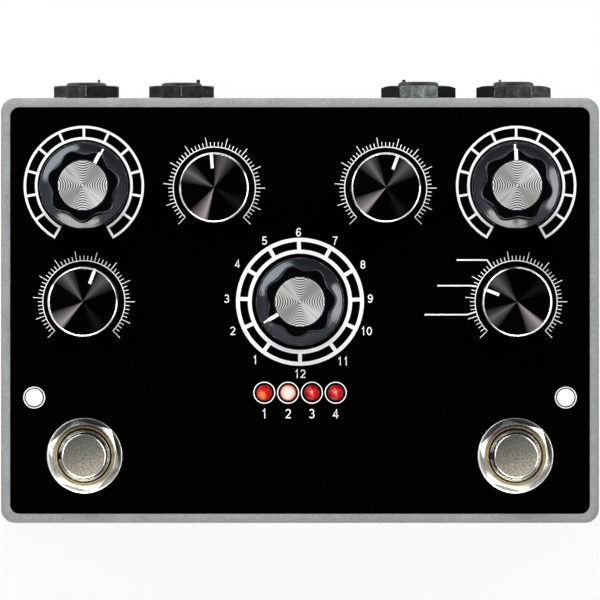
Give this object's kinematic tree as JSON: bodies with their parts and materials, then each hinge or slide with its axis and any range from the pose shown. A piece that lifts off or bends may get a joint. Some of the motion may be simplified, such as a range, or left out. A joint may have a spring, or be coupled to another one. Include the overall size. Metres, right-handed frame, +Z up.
{
  "type": "delay effects pedal",
  "caption": "Desktop effects pedal in a die-cast case with large lobed dials, small turned knobs, lamps, foot switches on its face and jack sockets at the back.",
  "frame": {"origin": "on the floor under the middle of the part's bounding box, feet at z = 0", "axes": "+X to the right along the pedal's length, +Y from the foot switches towards the jacks, +Z up"},
  "size_m": [0.173, 0.1286, 0.0743],
  "materials": {
    "case_paint": "matte",
    "black_print": "satin",
    "black_plastic": "gloss",
    "nut_plastic": "satin",
    "black_anodised": "satin",
    "spun_aluminium": "polished",
    "nickel": "satin",
    "steel": "satin",
    "rubber": "matte",
    "circuit_board": "satin",
    "red_lens": "gloss",
    "white_lens": "satin"
  },
  "bodies": {
    "case": {"enclosure": "case_paint", "face_plate": "black_print", "base_plate": "case_paint", "base_screw_1": "steel", "base_screw_2": "steel", "base_screw_3": "steel", "base_screw_4": "steel", "rubber_foot_1": "rubber", "rubber_foot_2": "rubber", "rubber_foot_3": "rubber", "rubber_foot_4": "rubber", "main_board": "circuit_board", "tone_pot": "steel", "volume_pot": "steel", "wear_pot": "steel", "speed_pot": "steel", "swell_pot": "steel", "mode_switch": "steel", "selector_switch": "steel", "left_footswitch_body": "nickel", "left_footswitch_washer": "nickel", "left_footswitch_nut": "nickel", "right_footswitch_body": "nickel", "right_footswitch_washer": "nickel", "right_footswitch_nut": "nickel", "head_lamp_1": "red_lens", "head_lamp_2": "red_lens", "head_lamp_3": "red_lens", "head_lamp_4": "red_lens", "status_lamp_left": "white_lens", "status_lamp_right": "white_lens", "output_jack_outer": "black_plastic", "output_jack_outer_nut": "nut_plastic", "output_jack_inner": "black_plastic", "output_jack_inner_nut": "nut_plastic", "input_jack_inner": "black_plastic", "input_jack_inner_nut": "nut_plastic", "input_jack_outer": "black_plastic", "input_jack_outer_nut": "nut_plastic", "power_inlet": "black_plastic"},
    "tone_control": {"tone_shaft": "steel", "tone_knob": "black_plastic", "tone_cap": "spun_aluminium"},
    "volume_control": {"volume_shaft": "steel", "volume_knob": "black_plastic", "volume_cap": "spun_aluminium"},
    "wear_control": {"wear_shaft": "steel", "wear_knob": "black_anodised"},
    "speed_control": {"speed_shaft": "steel", "speed_knob": "black_anodised"},
    "swell_control": {"swell_shaft": "steel", "swell_knob": "black_anodised"},
    "mode_control": {"mode_shaft": "steel", "mode_knob": "black_anodised"},
    "selector_control": {"selector_shaft": "steel", "selector_knob": "black_plastic", "selector_cap": "spun_aluminium"},
    "left_button": {"left_footswitch_button": "nickel"},
    "right_button": {"right_footswitch_button": "nickel"}
  },
  "joints": [
    {"name": "tone_turn", "type": "hinge", "parent": "case", "child": "tone_control", "pos_m": [-0.0618, 0.03303, 0.0583], "axis": [0, 0, 1], "range_deg": [-122, 178]},
    {"name": "volume_turn", "type": "hinge", "parent": "case", "child": "volume_control", "pos_m": [0.0618, 0.03303, 0.0583], "axis": [0, 0, 1], "range_deg": [-152, 148]},
    {"name": "wear_turn", "type": "hinge", "parent": "case", "child": "wear_control", "pos_m": [-0.0245, 0.03243, 0.0583], "axis": [0, 0, 1], "range_deg": [-139.6, 130.4]},
    {"name": "speed_turn", "type": "hinge", "parent": "case", "child": "speed_control", "pos_m": [0.0245, 0.03243, 0.0583], "axis": [0, 0, 1], "range_deg": [-114.5, 155.5]},
    {"name": "swell_turn", "type": "hinge", "parent": "case", "child": "swell_control", "pos_m": [-0.0618, -0.00007, 0.0583], "axis": [0, 0, 1], "range_deg": [-114.5, 155.5]},
    {"name": "mode_turn", "type": "hinge", "parent": "case", "child": "mode_control", "pos_m": [0.0618, -0.00007, 0.0583], "axis": [0, 0, 1], "range_deg": [-34.5, 34.5]},
    {"name": "selector_turn", "type": "hinge", "parent": "case", "child": "selector_control", "pos_m": [0, -0.00007, 0.0583], "axis": [0, 0, 1], "range_deg": [-300, 30]},
    {"name": "left_button_press", "type": "slide", "parent": "case", "child": "left_button", "axis": [0, 0, -1], "range_m": [0, 0.003], "stiffness_N_per_m": 2000, "springref_m": -0.003},
    {"name": "right_button_press", "type": "slide", "parent": "case", "child": "right_button", "axis": [0, 0, -1], "range_m": [0, 0.003], "stiffness_N_per_m": 2000, "springref_m": -0.003}
  ]
}
